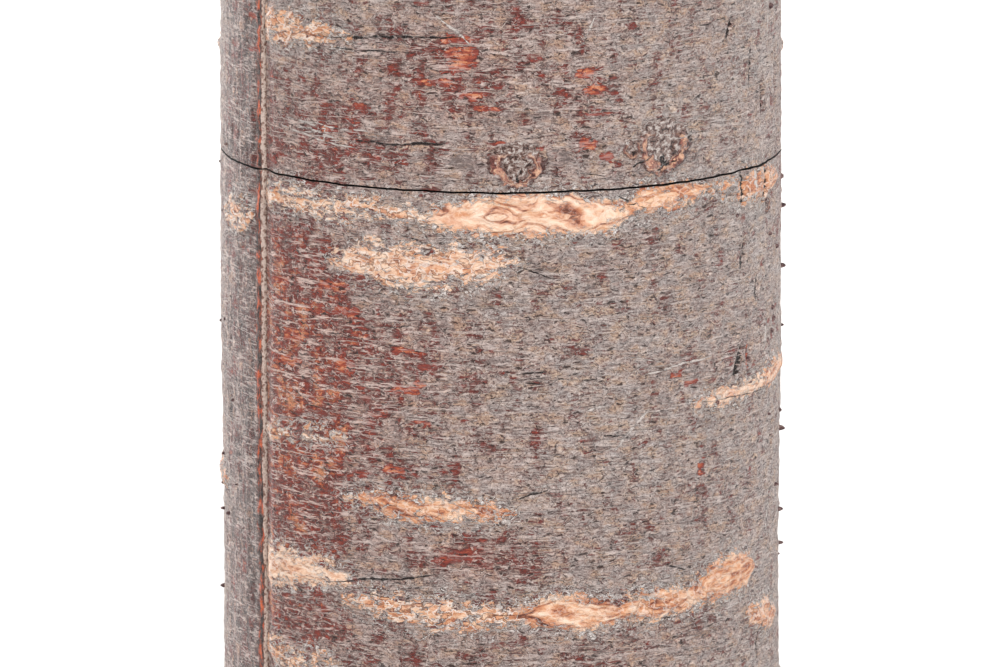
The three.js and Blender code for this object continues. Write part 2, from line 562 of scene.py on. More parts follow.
def bark_sheet(name, node, spacing, columns):
    """A wrapped bark sheet in place of a CAD one, with its marks kept on its points."""
    corner_low, corner_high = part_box(node)
    low = corner_low.z / MM - PARTING_CLOSE * (node == "lid_bark")
    high = corner_high.z / MM + PARTING_CLOSE * (node == "body_bark")
    sheet = flat_sheet(name, low, high, spacing)
    close_back(sheet, low, high)
    mesh = sheet.data
    flat = mesh_points(mesh)
    along, up = flat[:, 0], flat[:, 1]
    depth = -flat[:, 2] / BARK_THICKNESS
    fields = {"red": red_share(along, up)}
    fields["cork"], fields["orange"], fields["broken"] = lenticel_fields(along, up)
    fields["plate"], fields["heat"] = plate_fields(along, up)
    fields["crack"], fields["crack_width"], fields["crack_pale"] = crack_fields(along, up)
    fields["knot_x"], fields["knot_y"], fields["knot"] = knot_fields(along, up)
    fields["crack_width"] *= 1 - 0.6 * smooth_step(-0.5, 0.8, fields["cork"])
    skin = relief(along, up, fields)
    store(mesh, "plan", along, up, depth)
    store(mesh, "marks", fields["cork"], fields["red"], fields["plate"])
    store(mesh, "crack", fields["crack"], fields["crack_width"], fields["crack_pale"])
    store(mesh, "extra", fields["heat"], fields["orange"], fields["broken"])
    store(mesh, "knot", fields["knot_x"], fields["knot_y"], fields["knot"])
    to_end = np.minimum(up - low, high - up)
    up = up + 0.1 * smooth_noise(along, up, 1.4, 200, 500) * smooth_step(1.0, 0, to_end)
    to_side = np.minimum(along, GIRTH - along)
    along = along + 0.14 * smooth_noise(along, up, 300, 1.6, 510) * smooth_step(1.5, 0.2, to_side)
    radius = BARK_BACK + (BARK_THICKNESS + skin) * (1 - depth)
    angle = math.radians(SEAM_TURN) + along / OUTER_RADIUS
    wrapped = np.stack([radius * np.sin(angle), -radius * np.cos(angle), up], 1) * MM
    mesh.vertices.foreach_set("co", wrapped.ravel())
    lay_out_for_bake(mesh, low, high, columns)
    finish_sheet(sheet, node)


# Where each part of the sheet lies on its flat map, across a column and along it: (start, length).
SKIN_ACROSS = (0.004, 0.93)
LOWER_EDGE_ACROSS = (0.938, 0.008)
UPPER_EDGE_ACROSS = (0.95, 0.008)
BACK_ACROSS = (0.962, 0.03)
SKIN_ALONG = (0.004, 0.972)
FIRST_EDGE_ALONG = (0.98, 0.007)
LAST_EDGE_ALONG = (0.99, 0.007)
UNDER_SKIN = 0.01  # a face deeper than this share of the thickness isn't the skin's
AT_RIM = 0.01  # a cut face this near the top or the foot is that rim's


def lay_out_for_bake(mesh, low, high, columns):
    """A flat map of the sheet: the skin in upright columns, and narrow strips for its cut edges and back."""
    points = np.empty(len(mesh.loops), np.int32)
    mesh.loops.foreach_get("vertex_index", points)
    counts = np.empty(len(mesh.polygons), np.int32)
    mesh.polygons.foreach_get("loop_total", counts)
    face = np.repeat(np.arange(len(counts)), counts)
    along, up, depth = plan_of(mesh)[points].T

    def face_mean(values):
        return (np.bincount(face, values) / counts)[face]

    def within(strip, share):
        start, length = strip
        return start + length * share

    column_width = GIRTH / columns
    column = np.floor(face_mean(along) / column_width)
    height = (up - low) / (high - low)
    place = within(SKIN_ALONG, along / column_width - column)
    across = within(SKIN_ACROSS, height)
    mean_depth = face_mean(depth)
    back = mean_depth > ON_BACK
    across[back] = within(BACK_ACROSS, height[back])
    rim = (mean_depth > UNDER_SKIN) & ~back
    lower = rim & (face_mean(up) < low + AT_RIM)
    upper = rim & (face_mean(up) > high - AT_RIM)
    first = rim & ~lower & ~upper & (face_mean(along) < GIRTH / 2)
    last = rim & ~lower & ~upper & (face_mean(along) > GIRTH / 2)
    across[lower] = within(LOWER_EDGE_ACROSS, depth[lower])
    across[upper] = within(UPPER_EDGE_ACROSS, depth[upper])
    place[first] = within(FIRST_EDGE_ALONG, depth[first])
    place[last] = within(LAST_EDGE_ALONG, depth[last])
    layout = mesh.uv_layers.new(name="OFBake")
    layout.data.foreach_set("uv", np.stack([(column + across) / columns, place], 1).ravel())


def plan_of(mesh):
    """Each point's place on the sheet as it lay flat: along, up, and its depth from 0 to 1."""
    plan = np.empty(len(mesh.vertices) * 3, np.float32)
    mesh.attributes["plan"].data.foreach_get("vector", plan)
    return plan.reshape(-1, 3).astype(float)


def finish_sheet(sheet, node):
    """Smooths the skin, gives the cut edges their own material, and fixes the sheet to its body."""
    mesh = sheet.data
    mesh.materials.append(OUTER_BARK)
    mesh.materials.append(CUT_BARK)
    depth = plan_of(mesh)[:, 2]
    for face in mesh.polygons:
        face.use_smooth = True
        face.material_index = int(depth[list(face.vertices)].max() > 0.1)
    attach(sheet, "root")
    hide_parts(node)


# ---------------------------------------------------------------- sawn ends

DISC_RADIUS = WOOD_RADIUS + 0.2
DISC_SIDES = 256
RING_STEP = 0.4  # the sawn face is worked in rings this far apart
CORNER = 0.3  # the softened corner's width, and its drop
NO_RINGS = 0.9  # the corner, and the spot left in the middle, together
RING_WEAR = 0.05  # half of how far the soft wood between the rings is worn down
RING_WAVES = 2.4  # radians in a millimetre
CHECK_DEPTH = 0.9  # of the widest checks
PITH = (4.6, 3.4)  # the middle of the growth rings, from the middle of the disc
# Drying checks, running out from the pith: (bearing, from, to, width at the widest).
CHECKS = [
    (18, 3, 31, 0.7),
    (74, 9, 30, 0.45),
    (131, 2, 24, 0.5),
    (188, 5, 40, 0.9),
    (233, 14, 38, 0.5),
    (287, 3, 22, 0.4),
    (329, 20, 36, 0.45),
]


def check_fields(x, y, turned):
    """For the nearest drying check: millimetres across it, and half its width there."""
    across = np.full_like(x, 3.0)
    width = np.zeros_like(x)
    for bearing, first, last, wide in CHECKS:
        angle = math.radians(bearing + turned)
        run = (x - PITH[0]) * math.cos(angle) + (y - PITH[1]) * math.sin(angle)
        off = (y - PITH[1]) * math.cos(angle) - (x - PITH[0]) * math.sin(angle)
        off = off + 0.5 * np.sin(run * 0.35 + bearing) + 0.16 * np.sin(run * 1.3 + bearing)
        place = (run - first) / (last - first)
        near = (place > 0) & (place < 1) & (np.abs(off) < np.abs(across))
        across[near] = off[near]
        width[near] = wide / 2 * (4 * place[near] * (1 - place[near])) ** 0.7
    return across, width


def sawn_disc(name, node, outward, turned):
    """An end-grain slice: a disc with a softened corner, and rings and drying checks on its sawn face."""
    corner_low, corner_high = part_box(node)
    low, high = corner_low.z / MM, corner_high.z / MM
    clear_selection()
    bpy.ops.mesh.primitive_cylinder_add(
        vertices=DISC_SIDES, radius=DISC_RADIUS, depth=high - low, location=(0, 0, (low + high) / 2)
    )
    disc = bpy.context.object
    disc.name = name
    bpy.ops.object.transform_apply(location=True, rotation=False, scale=False)
    sawn_height = high if outward > 0 else low
    bpy.ops.object.mode_set(mode="EDIT")
    bpy.ops.mesh.select_mode(type="FACE")
    bpy.ops.mesh.select_all(action="DESELECT")
    form = bmesh.from_edit_mesh(disc.data)
    for face in form.faces:
        face.select = face.normal.z * outward > 0.9
    bmesh.update_edit_mesh(disc.data)
    bpy.ops.mesh.inset(thickness=CORNER)
    for _ in range(round((DISC_RADIUS - NO_RINGS) / RING_STEP)):
        bpy.ops.mesh.inset(thickness=RING_STEP)
    bpy.ops.mesh.poke()
    bpy.ops.object.mode_set(mode="OBJECT")
    mesh = disc.data
    points = mesh_points(mesh)
    x, y, z = points.T
    sawn = np.abs(z - sawn_height) < 0.01
    across, width = check_fields(x, y, turned)
    store(mesh, "check", across, width, np.zeros_like(width))
    from_pith = np.hypot(x - PITH[0], y - PITH[1])
    sunk = RING_WEAR + RING_WEAR * np.sin(from_pith * RING_WAVES)
    sunk += np.minimum(CHECK_DEPTH, 2.5 * width) * np.exp(-((across / 0.45) ** 2))
    rim = np.hypot(x, y) > DISC_RADIUS - 0.1
    sunk[rim] = CORNER
    z[sawn] -= outward * sunk[sawn]
    mesh.vertices.foreach_set("co", (np.stack([x, y, z], 1) * MM).ravel())
    for face in mesh.polygons:
        face.use_smooth = True
    mesh.materials.append(END_GRAIN)
    clear_selection()
    bpy.context.view_layer.objects.active = disc
    disc.select_set(True)
    bpy.ops.object.shade_smooth_by_angle(angle=math.radians(50))
    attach(disc, "root")
    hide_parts(node)


# ---------------------------------------------------------------- loose flecks of bark

# Little dark flecks and spurs that stand off the sheet: (turn, height, width, how far it stands out).
SPURS = [
    (88, 79.5, 1.0, 0.7),
    (89, 70.6, 1.2, 0.7),
    (87, 62.2, 0.8, 0.5),
    (88, 47.0, 1.0, 0.7),
    (86, 35.4, 0.8, 0.5),
    (89, 30.0, 1.1, 0.6),
    (78, 74.8, 1.0, 0.45),
    (74, 66.4, 0.9, 0.35),
    (76, 58.0, 1.1, 0.4),
    (72, 51.2, 0.9, 0.35),
    (79, 40.0, 0.9, 0.4),
    (73.6, 63.1, 1.4, 0.35),
    (70.7, 62.1, 1.3, 0.3),
    (75.2, 64.8, 1.3, 0.35),
    (68.8, 64.6, 0.8, 0.25),
    (61.2, 60.5, 0.8, 0.25),
    (56.1, 81.7, 1.1, 0.2),
    (69.0, 82.7, 1.3, 0.3),
    (72.4, 77.3, 1.0, 0.3),
    (-86, 63.0, 0.8, 0.4),
    (-88, 41.0, 0.9, 0.45),
    (-87, 24.0, 0.7, 0.4),
]
MORE_SPURS = 60
SPUR_SEED = 613
SPUR_SUNK = 0.15  # how far under the skin a fleck's middle lies
SPUR_ROOT = 0.25  # a fleck's half depth is what it stands out and this much more
SPUR_ROUGHNESS = 0.18
CLEAR_OF_LINE = 1.5  # a fleck nearer than this to the parting line is moved up
MOVED_UP = 3


def bark_spurs():
    """All the flecks as one piece: small rough lumps, flattened against the bark and sunk into it."""
    rng = np.random.default_rng(SPUR_SEED)
    spurs = list(SPURS)
    for _ in range(MORE_SPURS):
        turn, height = rng.uniform(66, 290), rng.uniform(3, TOTAL_HEIGHT - 4)
        spurs.append((turn, height, rng.uniform(0.4, 1.1), rng.uniform(0.2, 0.5)))
    made = []
    reach = (OUTER_RADIUS - SPUR_SUNK) * MM
    for turn, height, wide, out in spurs:
        if abs(height - PARTING_HEIGHT) < CLEAR_OF_LINE:
            height += MOVED_UP
        clear_selection()
        bpy.ops.mesh.primitive_ico_sphere_add(subdivisions=2, radius=1)
        lump = bpy.context.object
        bpy.ops.object.mode_set(mode="EDIT")
        bpy.ops.transform.vertex_random(offset=SPUR_ROUGHNESS, seed=int(rng.integers(1, 9999)))
        bpy.ops.object.mode_set(mode="OBJECT")
        lump.scale = (wide / 2 * MM, (out + SPUR_ROOT) * MM, wide * rng.uniform(0.25, 0.5) * MM)
        angle = math.radians(turn)
        lump.rotation_euler = (0, rng.normal(0, 0.35), angle)
        lump.location = (reach * math.sin(angle), -reach * math.cos(angle), height * MM)
        bpy.ops.object.transform_apply(location=True, rotation=True, scale=True)
        made.append(lump)
    clear_selection()
    for lump in made:
        lump.select_set(True)
    bpy.context.view_layer.objects.active = made[0]
    bpy.ops.object.join()
    piece = bpy.context.object
    piece.name = "bark_spurs"
    piece.data.name = "bark_spurs"
    piece.data.materials.clear()
    piece.data.materials.append(SPUR_BARK)
    bpy.ops.object.shade_smooth()
    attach(piece, "root")


# ---------------------------------------------------------------- materials


FLAT = {"noise_dimensions": "2D"}  # a noise on the flat sheet
BLEND = {"data_type": "RGBA", "output": 2}  # a Mix of two colours


def drawn_out(tree, place, stretch, scale, detail, roughness=0.5):
    """A random pattern that is longer along and up the sheet where stretch is under 1."""
    place = add_node(tree, "VectorMath", {0: place, 1: stretch}, operation="MULTIPLY")
    pattern = {"Vector": place, "Scale": scale, "Detail": detail, "Roughness": roughness}
    return add_node(tree, "TexNoise", pattern, **FLAT)


def scale_edges(tree, place, scale, shift, gate):
    """Broken lines round lens-shaped scales. Gives 1 on the pale lip, and 1 in the dark slit beside it."""
    place = add_node(tree, "VectorMath", {0: place, 1: (shift, shift, 0)}, operation="ADD")
    swell = add_node(
        tree, "TexNoise", {"Vector": place, "Scale": scale, "Detail": 3.0, "Roughness": 0.5}, **FLAT
    )
    lines = add_node(
        tree, "ValToRGB", {0: swell},
        ramp=[
            (0.38, "#000000"), (0.42, "#00ff00"), (0.455, "#000000"), (0.48, "#ff0000"), (0.515, "#ff0000"),
            (0.54, "#000000"),
        ],
    )
    lip, slit, _ = add_node(tree, "SeparateColor", {0: lines}, output="all")
    lip = add_node(tree, "Math", {0: lip, 1: gate}, operation="MULTIPLY")
    slit = add_node(tree, "Math", {0: slit, 1: gate}, operation="MULTIPLY")
    return lip, slit


def skin_layer(tree, plan, bent, level, red, plate, heat):
    """Grey crackle worn through to brown, maroon, rust and orange skin. Gives its colour and its height."""
    grit = add_node(
        tree, "TexNoise", {"Vector": bent, "Scale": 3.6, "Detail": 3.0, "Roughness": 0.7}, **FLAT
    )
    fleck = add_node(
        tree, "TexNoise", {"Vector": level, "Scale": 2.6, "Detail": 4.0, "Roughness": 0.68}, **FLAT
    )
    mottle = add_node(
        tree, "TexNoise", {"Vector": plan, "Scale": 0.25, "Detail": 3.0, "Roughness": 0.6}, **FLAT
    )
    tone = add_node(tree, "Math", {0: grit, 1: fleck}, operation="ADD")
    tone = add_node(tree, "Math", {0: tone, 1: 0.5, 2: -0.08}, operation="MULTIPLY_ADD")
    tone = add_node(tree, "Math", {0: mottle, 1: 0.16, 2: tone}, operation="MULTIPLY_ADD")
    # Upright wrinkles over the last stretch of the sheet, where it was bent round to meet its start.
    along = add_node(tree, "SeparateXYZ", {0: plan})
    wrinkle = drawn_out(tree, bent, (1.3, 0.16, 1), 1.0, 3.0)
    wrinkle = add_node(tree, "Math", {0: wrinkle, 1: 0.75, 2: -0.44}, operation="MULTIPLY_ADD")
    bend = add_node(tree, "MapRange", {0: along, 1: GIRTH - WRINKLED, 2: GIRTH - WRINKLED / 2})
    tone = add_node(tree, "Math", {0: wrinkle, 1: bend, 2: tone}, operation="MULTIPLY_ADD")
    # The skin is darkened over the last few millimetres before the seam: painted shade beyond the narrow
    # lit edge on the left.
    shade_from, shade_full = GIRTH - 8.5, GIRTH - 4.0
    painted_shade = add_node(tree, "MapRange", {0: along, 1: shade_from, 2: shade_full, 3: 0.0, 4: -0.06})
    tone = add_node(tree, "Math", {0: tone, 1: painted_shade}, operation="ADD")
    ground = add_node(
        tree, "ValToRGB", {0: tone},
        ramp=[(0.33, "#5f4843"), (0.43, "#947e77"), (0.5, "#ad9a93"), (0.57, "#bdada6"), (0.68, "#dfd2cc")],
    )
    tinge = add_node(tree, "Mix", {0: red, 6: (1, 1, 1, 1), 7: "#f3d3cb"}, **BLEND)
    ground = add_node(tree, "VectorMath", {0: ground, 1: tinge}, operation="MULTIPLY")
    # Here slate and there straw, in patches 1 to 3 mm across.
    cast = drawn_out(tree, bent, (0.6, 1, 1), 0.6, 3.0)
    cast = add_node(
        tree, "ValToRGB", {0: cast},
        ramp=[(0.36, "#e6eaee"), (0.46, "#fbfbfb"), (0.54, "#fffcf8"), (0.64, "#fff1df")],
    )
    ground = add_node(tree, "VectorMath", {0: ground, 1: cast}, operation="MULTIPLY")

    # Patches taller than wide, streaked level, say how far the skin has turned.
    patch = drawn_out(tree, bent, (0.34, 0.22, 1), 1.0, 5.0, 0.6)
    streaks = drawn_out(tree, bent, (0.19, 1, 1), 1.9, 4.0, 0.66)
    turned = add_node(tree, "Math", {0: patch, 1: 1.9, 2: -1.66}, operation="MULTIPLY_ADD")
    turned = add_node(tree, "Math", {0: streaks, 1: 1.4, 2: turned}, operation="MULTIPLY_ADD")
    turned = add_node(tree, "Math", {0: red, 1: 0.62, 2: turned}, operation="MULTIPLY_ADD")
    ragged = add_node(tree, "TexNoise", {"Vector": level, "Scale": 1.8, "Detail": 4.0}, **FLAT)
    on_plate = add_node(tree, "Math", {0: ragged, 1: 2.6, 2: -1.35}, operation="MULTIPLY_ADD")
    on_plate = add_node(tree, "Math", {0: plate, 1: on_plate}, operation="ADD")
    on_plate = add_node(tree, "MapRange", {0: on_plate, 1: 0.25, 2: 0.9, 3: 0.0, 4: 0.85})
    plate_turned = add_node(tree, "Math", {0: heat, 1: 0.75, 2: -0.38}, operation="MULTIPLY_ADD")
    plate_turned = add_node(tree, "Math", {0: streaks, 1: 1.2, 2: plate_turned}, operation="MULTIPLY_ADD")
    turned = add_node(tree, "Mix", {0: on_plate, 2: turned, 3: plate_turned})
    skin = add_node(
        tree, "ValToRGB", {0: turned},
        ramp=[
            (0.0, "#5f5351"), (0.16, "#96827d"), (0.3, "#84665f"), (0.4, "#774c46"), (0.54, "#743630"),
            (0.74, "#8b3a2d"), (0.9, "#b05d40"), (1.0, "#c88562"),
        ],
    )
    light = add_node(tree, "MapRange", {0: tone, 1: 0.34, 2: 0.66, 3: 0.35, 4: 1.45})
    light = add_node(tree, "Mix", {0: on_plate, 2: light, 3: 0.95})
    skin = add_node(tree, "VectorMath", {0: skin, 3: light}, operation="SCALE")
    worn = add_node(tree, "Math", {0: tone, 1: -1.6, 2: 0.8}, operation="MULTIPLY_ADD")
    worn = add_node(tree, "Math", {0: turned, 1: worn}, operation="ADD")
    worn = add_node(tree, "MapRange", {0: worn, 1: 0.1, 2: 0.34})
    worn = add_node(tree, "Math", {0: worn, 1: on_plate}, operation="MAXIMUM")
    colour = add_node(tree, "Mix", {0: worn, 6: ground, 7: skin}, **BLEND)

    # Pale lips and dark slits between scales, about 0.7 mm apart and broken every millimetre or so.
    # The pale lips are partly pale crust and partly painted highlight on the raised scale edges, and the
    # dark slits are painted shadow under them.
    gate = add_node(tree, "TexNoise", {"Vector": bent, "Scale": 0.8, "Detail": 3.0}, **FLAT)
    gate_here = add_node(tree, "MapRange", {0: gate, 1: 0.44, 2: 0.56})
    gate_there = drawn_out(tree, plan, (0.25, 0.9, 1), 0.9, 3.0)
    gate_there = add_node(tree, "MapRange", {0: gate_there, 1: 0.45, 2: 0.55})
    lip, slit = scale_edges(tree, level, 1.5, 0, gate_here)
    long_level = add_node(tree, "Mix", {0: 0.35, 4: plan, 5: bent}, data_type="VECTOR", output=1)
    long_level = add_node(tree, "VectorMath", {0: long_level, 1: (0.08, 1, 1)}, operation="MULTIPLY")
    lip_there, slit_there = scale_edges(tree, long_level, 1.1, 31, gate_there)
    lip = add_node(tree, "Math", {0: lip, 1: lip_there}, operation="MAXIMUM")
    slit = add_node(tree, "Math", {0: slit, 1: slit_there}, operation="MAXIMUM")
    bare = add_node(tree, "Math", {0: on_plate, 1: -0.7, 2: 1.0}, operation="MULTIPLY_ADD")
    lip = add_node(tree, "Math", {0: lip, 1: bare}, operation="MULTIPLY")
    slit = add_node(tree, "Math", {0: slit, 1: bare}, operation="MULTIPLY")
    lip_highlight_share = add_node(tree, "Math", {0: red, 1: 0.45, 2: 0.48}, operation="MULTIPLY_ADD")
    lip_highlight_share = add_node(tree, "Math", {0: lip, 1: lip_highlight_share}, operation="MULTIPLY")
    slit_shadow_share = add_node(tree, "Math", {0: slit, 1: 0.44}, operation="MULTIPLY")
    pale = add_node(tree, "Mix", {0: red, 6: "#dacdc8", 7: "#dcc0b6"}, **BLEND)
    colour = add_node(tree, "Mix", {0: slit_shadow_share, 6: colour, 7: "#4a3632"}, **BLEND)
    colour = add_node(tree, "Mix", {0: lip_highlight_share, 6: colour, 7: pale}, **BLEND)

    # Dark pits, 0.2 to 0.4 mm across.
    pit = add_node(tree, "Math", {0: grit, 1: ragged}, operation="MINIMUM")
    pit = add_node(tree, "MapRange", {0: pit, 1: 0.36, 2: 0.3, 3: 0.0, 4: 0.9})
    colour = add_node(tree, "Mix", {0: pit, 6: colour, 7: "#33231f"}, **BLEND)

    height = add_node(tree, "Math", {0: tone, 1: 1.3}, operation="MULTIPLY")
    height = add_node(tree, "Math", {0: lip, 1: 0.3, 2: height}, operation="MULTIPLY_ADD")
    height = add_node(tree, "Math", {0: slit, 1: -0.35, 2: height}, operation="MULTIPLY_ADD")
    height = add_node(tree, "Math", {0: pit, 1: -0.3, 2: height}, operation="MULTIPLY_ADD")
    height = add_node(tree, "Mix", {0: on_plate, 2: height, 3: 0.6})
    return colour, height, ragged


def cork_layer(tree, plan, bent, level, cork_depth, orange, broken):
    """A corky lenticel: cream to orange cork, whose growth lines follow its edge.

    Gives how far inside the torn edge it is, its share, its colour and its height."""
    fray = add_node(
        tree, "TexNoise", {"Vector": bent, "Scale": 0.6, "Detail": 5.0, "Roughness": 0.72}, **FLAT
    )
    fray = add_node(tree, "Math", {0: fray, 1: 5.0, 2: -2.5}, operation="MULTIPLY_ADD")
    gap = add_node(
        tree, "TexNoise", {"Vector": level, "Scale": 0.95, "Detail": 4.0, "Roughness": 0.62}, **FLAT
    )
    gap = add_node(tree, "MapRange", {0: gap, 1: 0.52, 2: 0.38, 3: 0.0, 4: 3.2})
    gap = add_node(tree, "Math", {0: gap, 1: broken}, operation="MULTIPLY")
    cork = add_node(tree, "Math", {0: cork_depth, 1: fray}, operation="ADD")
    cork = add_node(tree, "Math", {0: cork, 1: gap}, operation="SUBTRACT")
    on_cork = add_node(tree, "MapRange", {0: cork, 1: 0.0, 2: 0.2})

    # Growth lines 0.4 to 0.8 mm apart, running along the lens and round its ends.
    drift = drawn_out(tree, plan, (0.6, 1, 1), 0.28, 2.0)
    drift = add_node(tree, "Math", {0: drift, 1: 3.6, 2: cork_depth}, operation="MULTIPLY_ADD")
    along, up, _ = add_node(tree, "SeparateXYZ", {0: plan}, output="all")
    slow = add_node(tree, "Math", {0: along, 1: 0.12}, operation="MULTIPLY")
    slow = add_node(tree, "Math", {0: up, 1: 0.14, 2: slow}, operation="MULTIPLY_ADD")
    growth = add_node(tree, "CombineXYZ", {0: drift, 1: slow})
    growth = add_node(
        tree, "TexNoise", {"Vector": growth, "Scale": 1.25, "Detail": 4.0, "Roughness": 0.62}, **FLAT
    )
    crumbly = add_node(
        tree, "TexNoise", {"Vector": level, "Scale": 1.9, "Detail": 4.0, "Roughness": 0.7}, **FLAT
    )
    texture = add_node(tree, "Math", {0: broken, 1: 0.55, 2: 0.2}, operation="MULTIPLY_ADD")
    texture = add_node(tree, "Mix", {0: texture, 2: growth, 3: crumbly})
    cream = add_node(
        tree, "ValToRGB", {0: texture},
        ramp=[(0.31, "#6b4234"), (0.37, "#ab725b"), (0.43, "#d6a083"), (0.5, "#eac0a3"), (0.6, "#f8dac3")],
    )
    tan = add_node(
        tree, "ValToRGB", {0: texture},
        ramp=[(0.32, "#5c3026"), (0.38, "#9b5c45"), (0.45, "#c68461"), (0.52, "#dca17c"), (0.62, "#f0c7a8")],
    )
    warm = add_node(tree, "TexNoise", {"Vector": level, "Scale": 0.85, "Detail": 4.0}, **FLAT)
    warm = add_node(tree, "Math", {0: orange, 1: 0.5, 2: warm}, operation="MULTIPLY_ADD")
    warm = add_node(tree, "MapRange", {0: warm, 1: 0.6, 2: 0.8})
    colour = add_node(tree, "Mix", {0: warm, 6: cream, 7: tan}, **BLEND)
    open_net = add_node(tree, "VectorMath", {0: bent, 1: (0.6, 1, 1)}, operation="MULTIPLY")
    net_share = add_node(tree, "Math", {0: broken, 1: 0.9, 2: 0.15}, operation="MULTIPLY_ADD")
    lip, slit = scale_edges(tree, open_net, 0.95, 57, net_share)
    colour = add_node(tree, "Mix", {0: slit, 6: colour, 7: "#74483a"}, **BLEND)
    colour = add_node(tree, "Mix", {0: lip, 6: colour, 7: "#f0e2d9"}, **BLEND)
    height = add_node(tree, "Math", {0: texture, 1: 2.4}, operation="MULTIPLY")
    height = add_node(tree, "Math", {0: slit, 1: -0.5, 2: height}, operation="MULTIPLY_ADD")
    return cork, on_cork, colour, height


def knot_layer(tree, bent, knot, waver):
    """A bud scar: tan growth curling round its sides and foot, and a pitted crackle inside."""
    wobble = add_node(tree, "VectorMath", {0: waver, 1: (0.65, 0.65, 0), 2: knot}, operation="MULTIPLY_ADD")
    wobble = add_node(tree, "VectorMath", {0: wobble, 1: (1, 1, 0)}, operation="MULTIPLY")
    across, upward, _ = add_node(tree, "SeparateXYZ", {0: wobble}, output="all")
    reach = add_node(tree, "VectorMath", {0: wobble}, operation="LENGTH", output="Value")
    bearing = add_node(tree, "Math", {0: upward, 1: across}, operation="ARCTAN2")
    rings = add_node(tree, "CombineXYZ", {0: reach, 1: bearing})
    rings = drawn_out(tree, rings, (7.0, 0.9, 0), 1.0, 4.0, 0.65)
    crackle = add_node(
        tree, "TexNoise", {"Vector": bent, "Scale": 1.5, "Detail": 5.0, "Roughness": 0.7}, **FLAT
    )
    heart = add_node(
        tree, "ValToRGB", {0: crackle},
        ramp=[(0.36, "#32201c"), (0.43, "#6f5048"), (0.48, "#957a71"), (0.54, "#b5a098"), (0.61, "#e6dad4")],
    )
    curl = add_node(
        tree, "ValToRGB", {0: rings},
        ramp=[(0.34, "#4d2a26"), (0.43, "#8d564d"), (0.53, "#b98270"), (0.64, "#e6b697")],
    )
    band = add_node(
        tree, "ValToRGB", {0: reach},
        ramp=[(0.56, "#000000"), (0.62, "#ffffff"), (0.9, "#ffffff"), (0.96, "#000000")],
    )
    lower = add_node(tree, "MapRange", {0: upward, 1: 0.6, 2: 0.3})
    band = add_node(tree, "Math", {0: band, 1: lower}, operation="MULTIPLY")
    torn = add_node(tree, "TexNoise", {"Vector": bent, "Scale": 0.9, "Detail": 3.0}, **FLAT)
    torn = add_node(tree, "MapRange", {0: torn, 1: 0.36, 2: 0.46, 3: 0.3, 4: 1.0})
    band = add_node(tree, "Math", {0: band, 1: torn}, operation="MULTIPLY")
    colour = add_node(tree, "Mix", {0: band, 6: heart, 7: curl}, **BLEND)
    outline = add_node(
        tree, "ValToRGB", {0: reach},
        ramp=[(0.5, "#000000"), (0.56, "#ffffff"), (0.63, "#000000"), (0.9, "#000000"), (0.96, "#ffffff")],
    )
    outline = add_node(tree, "Math", {0: outline, 1: lower}, operation="MULTIPLY")
    outline = add_node(tree, "Math", {0: outline, 1: torn}, operation="MULTIPLY")
    outline = add_node(tree, "Math", {0: outline, 1: 0.85}, operation="MULTIPLY")
    colour = add_node(tree, "Mix", {0: outline, 6: colour, 7: "#50211d"}, **BLEND)
    foot = add_node(
        tree, "VectorMath", {0: wobble, 1: (8.0, 2.6, 0), 2: (-0.3, 1.3, 0)}, operation="MULTIPLY_ADD"
    )
    foot = add_node(tree, "VectorMath", {0: foot}, operation="LENGTH", output="Value")
    foot = add_node(tree, "MapRange", {0: foot, 1: 0.75, 2: 0.45})
    colour = add_node(tree, "Mix", {0: foot, 6: colour, 7: "#1e1412"}, **BLEND)
    height = add_node(tree, "Mix", {0: band, 2: crackle, 3: rings})
    height = add_node(tree, "Math", {0: height, 1: 3.0}, operation="MULTIPLY")
    return colour, height


